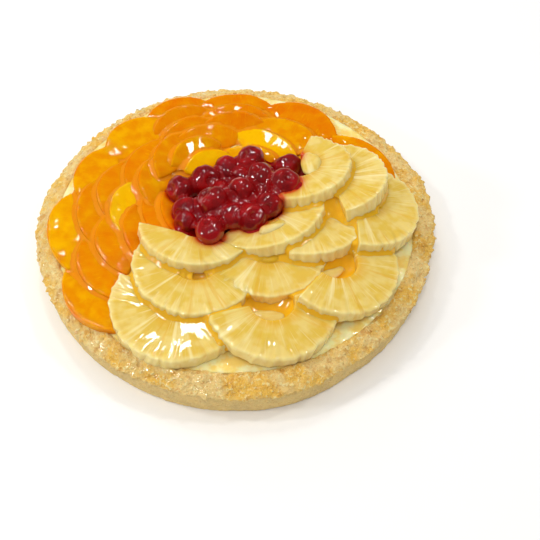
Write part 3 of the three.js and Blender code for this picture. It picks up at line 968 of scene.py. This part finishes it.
syrup = {
    "reach": 100, "cells": 124, "rounds": 90, "thickness": 2.0, "depth": 2.2, "inset": 5, "amberReach": 92,
    "amber": srgb(248, 182, 24), "red": srgb(160, 2, 2), "rise": 1.2, "edge": 4.0, "fall": 4.0, "well": 5,
    "orange": srgb(238, 146, 0), "orangeEdge": 15, "orangeDepth": 1.2, "gloss": 1.42,
    # bits of pineapple lying in the syrup: x, y, the way they run, length and width
    # and how far they stand out of it
    "bits": [
        (17, -79, 4, 22, 10, 0.6), (57, -50, 24, 19, 8, 0.6), (23, -24, 20, 18, 8, 0),
        (50, 23, 96, 22, 13, 13),
    ],
    "bitThickness": 5.5,
    # how strongly the fruit is tinted beside the cherries, from where, and how fast it fades
    "tint": 0.9, "tintStart": 0.6, "tintFade": 1.7,
}


def beyondCherries(points):
    # how far outside the nearest cherry each point lies, seen from above, in mm
    away = np.full(len(points), 1000.0)
    for x, y, radius in cherry["places"]:
        gap = np.hypot(points[:, 0] / mm - x, points[:, 1] / mm - y - tartShift.y / mm) - radius
        away = np.minimum(away, gap)
    return away


def trimmed(piece, keep):
    editAll(piece)
    bpy.ops.mesh.select_all(action="DESELECT")
    leaveEdit()
    for vertex, stays in zip(piece.data.vertices, keep):
        vertex.select = not stays
    bpy.ops.object.mode_set(mode="EDIT")
    bpy.ops.mesh.delete(type="VERT")
    leaveEdit()
    applyModifier(piece, "SOLIDIFY", thickness=syrup["thickness"] * mm, offset=-1)
    smoothShade(piece)
    return piece


def pourSheet():
    # a sheet dropped on cream and fruit, then smoothed until it bridges their hollows
    target = joined([creamFilling, *peachSlices, *pineappleHalves], "fruitCast")
    cells = syrup["cells"]
    bpy.ops.mesh.primitive_grid_add(x_subdivisions=cells, y_subdivisions=cells, size=2 * syrup["reach"] * mm)
    sheet = newestAs("pouredSheet")
    bpy.ops.transform.translate(value=(0, 0, 0.1))
    bpy.ops.object.transform_apply(location=True)
    applyModifier(sheet, "SHRINKWRAP", target=target, wrap_method="PROJECT", use_project_z=True,
                  use_negative_direction=True, use_positive_direction=False)
    applyModifier(sheet, "SMOOTH", factor=0.5, iterations=syrup["rounds"])
    discard(target)
    return sheet


def makeAmberSheet(sheet):
    piece = copyOf(sheet, "amberSyrup")
    points = pointsOf(piece)
    keep = np.zeros(len(points), bool)
    for x, y, facing, radius, cut in pineapple["rings"]:
        keep |= np.hypot(points[:, 0] / mm - x, points[:, 1] / mm - y) < radius - syrup["inset"]
    keep &= np.hypot(points[:, 0], points[:, 1]) < syrup["amberReach"] * mm
    points[:, 2] -= syrup["depth"] * mm
    setPoints(piece, points)
    return trimmed(piece, keep)


def makeOrangeSheet(sheet):
    piece = copyOf(sheet, "orangeSyrup")
    points = pointsOf(piece)
    keep = beyondCherries(points) < syrup["orangeEdge"]
    for x, y, facing, radius, cut in pineapple["rings"]:
        keep &= np.hypot(points[:, 0] / mm - x, points[:, 1] / mm - y) > radius - syrup["inset"]
    points[:, 2] -= syrup["orangeDepth"] * mm
    setPoints(piece, points)
    return trimmed(piece, keep)


def highestAt(pieces, x, y):
    start = Vector((x * mm, y * mm, 0.1)) + tartShift
    tops = [piece.ray_cast(start, (0, 0, -1)) for piece in pieces]
    return max(place.z for hit, place, normal, face in tops if hit)


def makeBits(below):
    loose = []
    for index, (x, y, way, length, width, lift) in enumerate(syrup["bits"]):
        bpy.ops.mesh.primitive_uv_sphere_add(segments=40, ring_count=20, radius=0.5)
        piece = newestAs(f"bit_{index}")
        points = pointsOf(piece) * (length, width, syrup["bitThickness"]) * mm
        points += mm * 1.2 * lumpsVector(points, 6 * mm, index + 200)
        setValues(piece, "polar", points[:, [1, 0, 2]] + index * 0.02)
        setValues(piece, "outward", np.full(len(points), 0.8))
        turn = Matrix.Rotation(math.radians(way), 3, "Z")
        spot = np.array((x * mm, y * mm, highestAt(below, x, y) + lift * mm)) + np.array(tartShift)
        setPoints(piece, points @ np.array(turn).T + spot)
        loose.append(piece)
    made = joined(loose, "pineappleBits")
    discard(*loose)
    smoothShade(made)
    return made


def makeJuiceSheet(sheet):
    piece = copyOf(sheet, "cherryJuice")
    points = pointsOf(piece)
    away = beyondCherries(points) + 0.8 * lumps(points, 7 * mm, 33)
    points[:, 2] += mm * (syrup["rise"] - syrup["fall"] * np.clip(away / syrup["edge"], 0, 1) ** 1.5)
    points[:, 2] += mm * np.clip(-away, 0, syrup["well"])
    setPoints(piece, points)
    return trimmed(piece, away < syrup["edge"] + 0.5)


pouredSheet = pourSheet()
amberSyrup = makeAmberSheet(pouredSheet)
wearMaterial(amberSyrup, glazeMaterial("amberSyrup", syrup["amber"], syrup["gloss"]))
orangeSyrup = makeOrangeSheet(pouredSheet)
wearMaterial(orangeSyrup, glazeMaterial("orangeSyrup", syrup["orange"], syrup["gloss"]))
pineappleBits = makeBits([amberSyrup, *pineappleHalves])
wearMaterial(pineappleBits, pineappleFlesh)
cherryJuice = makeJuiceSheet(pouredSheet)
wearMaterial(cherryJuice, glazeMaterial("redJuice", syrup["red"], syrup["gloss"]))
discard(pouredSheet)
for piece in (amberSyrup, orangeSyrup, pineappleBits, cherryJuice):
    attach(piece, "root")
for piece in (*peachSlices, *pineappleHalves, amberSyrup, orangeSyrup, pineappleBits, *glazes[:2]):
    away = np.clip(beyondCherries(pointsOf(piece)) - syrup["tintStart"], 0, None)
    setValues(piece, "juice", syrup["tint"] * np.exp(-away / syrup["tintFade"]))
print("syrup poured:", len(amberSyrup.data.polygons), "faces")
